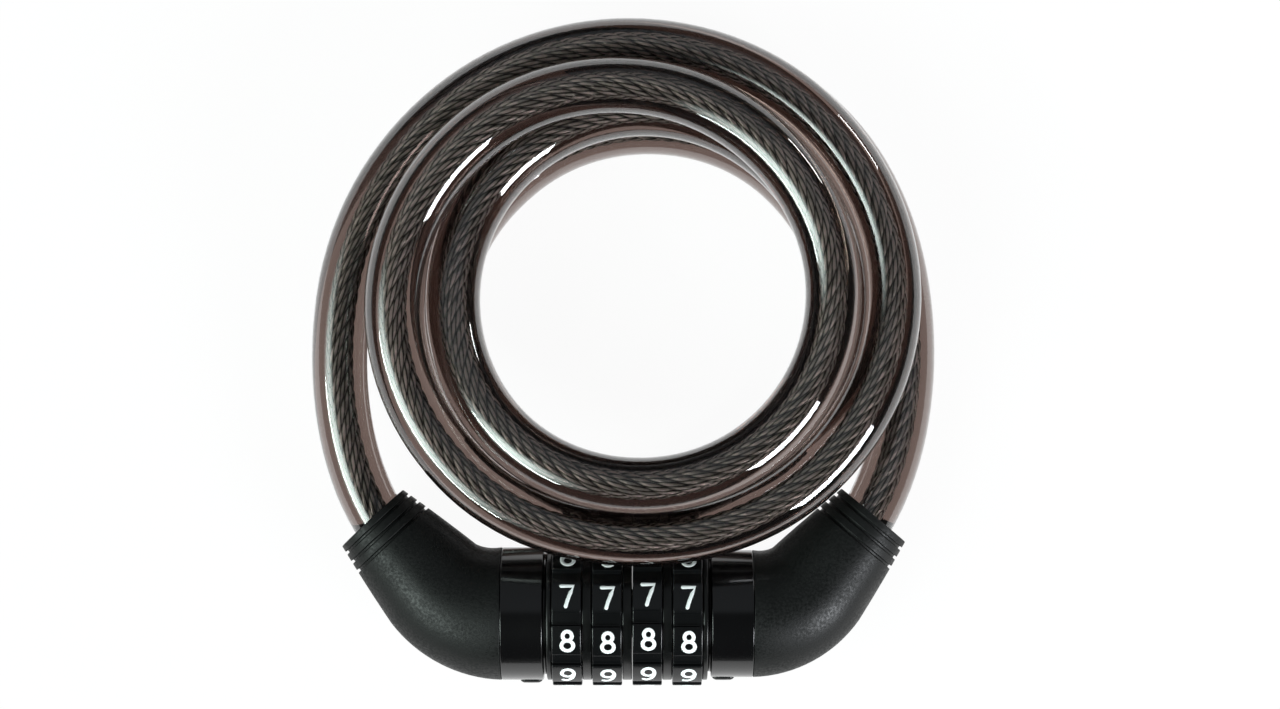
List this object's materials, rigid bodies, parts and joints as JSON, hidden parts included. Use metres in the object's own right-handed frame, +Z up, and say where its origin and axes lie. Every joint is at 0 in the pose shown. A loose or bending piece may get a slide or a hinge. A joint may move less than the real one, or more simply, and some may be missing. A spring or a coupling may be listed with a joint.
{
  "type": "combination cable lock",
  "caption": "Combination cable lock with numbered dials on a short black barrel, bent end pieces and a clear-sheathed steel cable wound in a flat coil.",
  "frame": {"origin": "middle of the lock's outline without its cable, on the surface that it lies on", "axes": "+X along the barrel, from its fixed end to the plug that pulls out; +Y from the barrel towards the coil; +Z up"},
  "size_m": [0.1123, 0.1203, 0.035],
  "materials": {
    "elbow_plastic": "satin moulded black",
    "pip_plastic": "satin moulded black",
    "black_paint": "gloss black paint",
    "dial_plastic": "semi-gloss moulded black, white figures",
    "cast_zinc": "as-cast grey",
    "wheel_brass": "turned",
    "plated_steel": "bright plated",
    "dark_steel": "dark spring steel",
    "clear_pvc": "clear tinted, glossy",
    "rope_steel": "bare galvanised strand"
  },
  "bodies": {
    "barrel": {"barrel_elbow": "elbow_plastic", "barrel_anchor": "cast_zinc", "barrel_ferrule": "plated_steel", "barrel_set_screw": "dark_steel", "barrel_cross_pin": "plated_steel", "barrel_collar": "black_paint", "barrel_index_pip": "pip_plastic", "core_tube": "plated_steel", "spacer_1": "black_paint", "spacer_2": "black_paint", "spacer_3": "black_paint", "end_ring_left": "black_paint", "end_ring_right": "black_paint", "retaining_ring": "dark_steel", "click_spring": "dark_steel", "cable_coil_sleeve": "clear_pvc", "cable_coil_rope": "rope_steel", "cable_tail_sleeve": "clear_pvc", "cable_tail_rope": "rope_steel"},
    "dial_1": {"dial_1": "dial_plastic", "code_wheel_1": "wheel_brass"},
    "dial_2": {"dial_2": "dial_plastic", "code_wheel_2": "wheel_brass"},
    "dial_3": {"dial_3": "dial_plastic", "code_wheel_3": "wheel_brass"},
    "dial_4": {"dial_4": "dial_plastic", "code_wheel_4": "wheel_brass"},
    "plug": {"locking_pin": "plated_steel", "plug_collar": "black_paint", "plug_index_pip": "pip_plastic", "plug_cross_pin": "plated_steel", "plug_anchor": "cast_zinc", "plug_ferrule": "plated_steel", "plug_set_screw": "dark_steel", "plug_elbow": "elbow_plastic"}
  },
  "joints": [
    {"name": "dial_1_turn", "type": "hinge", "parent": "barrel", "child": "dial_1", "pos_m": [-0.01014, -0.00483, 0.013], "axis": [1, 0, 0], "continuous": true, "deforming": ["click_spring"]},
    {"name": "dial_2_turn", "type": "hinge", "parent": "barrel", "child": "dial_2", "pos_m": [-0.00294, -0.00483, 0.013], "axis": [1, 0, 0], "continuous": true, "deforming": ["click_spring"]},
    {"name": "dial_3_turn", "type": "hinge", "parent": "barrel", "child": "dial_3", "pos_m": [0.00426, -0.00483, 0.013], "axis": [1, 0, 0], "continuous": true, "deforming": ["click_spring"]},
    {"name": "dial_4_turn", "type": "hinge", "parent": "barrel", "child": "dial_4", "pos_m": [0.01146, -0.00483, 0.013], "axis": [1, 0, 0], "continuous": true, "deforming": ["click_spring"]},
    {"name": "plug_pull", "type": "slide", "parent": "barrel", "child": "plug", "axis": [1, 0, 0], "range_m": [0, 0.03], "deforming": ["cable_tail_sleeve", "cable_tail_rope"]}
  ]
}
